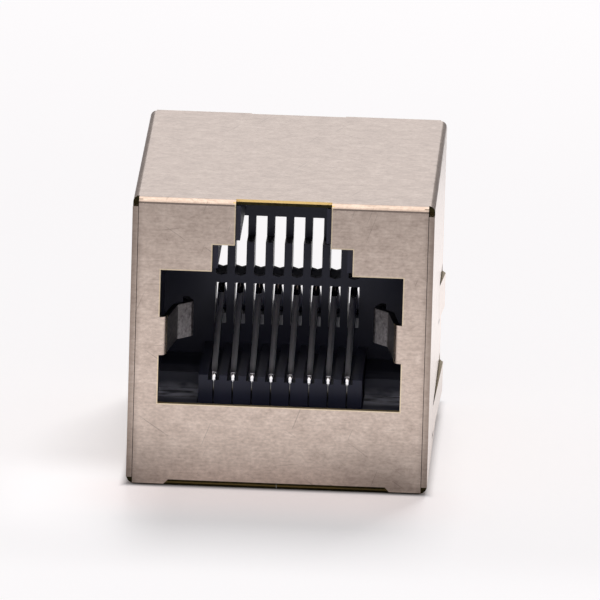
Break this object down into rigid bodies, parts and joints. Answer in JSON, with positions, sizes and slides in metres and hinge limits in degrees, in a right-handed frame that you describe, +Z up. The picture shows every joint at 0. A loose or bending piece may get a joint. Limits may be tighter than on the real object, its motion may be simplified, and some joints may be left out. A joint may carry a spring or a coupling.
{
  "type": "ethernet coupler",
  "caption": "Metal shielded in-line coupler with a modular plug socket at each end, for joining two network patch cables end to end.",
  "frame": {"origin": "centre of the bounding box on the ground plane under the shell", "axes": "+Z up through the latch side, -Y out of the front socket, +X to the right of the front socket"},
  "size_m": [0.0166, 0.0192, 0.0159],
  "materials": {
    "shell_metal": "nickel plated sheet, finely brushed, with bare cut edges",
    "black_moulding": "black moulded, semi gloss",
    "contact_wire": "bright plated spring wire",
    "board_green": "green solder resist"
  },
  "bodies": {
    "root": {"shell": "shell_metal", "housing": "black_moulding", "front_contact_carrier": "black_moulding", "rear_contact_carrier": "black_moulding", "circuit_board": "board_green", "front_contact_1": "contact_wire", "front_contact_2": "contact_wire", "front_contact_3": "contact_wire", "front_contact_4": "contact_wire", "front_contact_5": "contact_wire", "front_contact_6": "contact_wire", "front_contact_7": "contact_wire", "front_contact_8": "contact_wire", "rear_contact_1": "contact_wire", "rear_contact_2": "contact_wire", "rear_contact_3": "contact_wire", "rear_contact_4": "contact_wire", "rear_contact_5": "contact_wire", "rear_contact_6": "contact_wire", "rear_contact_7": "contact_wire", "rear_contact_8": "contact_wire"}
  },
  "joints": []
}
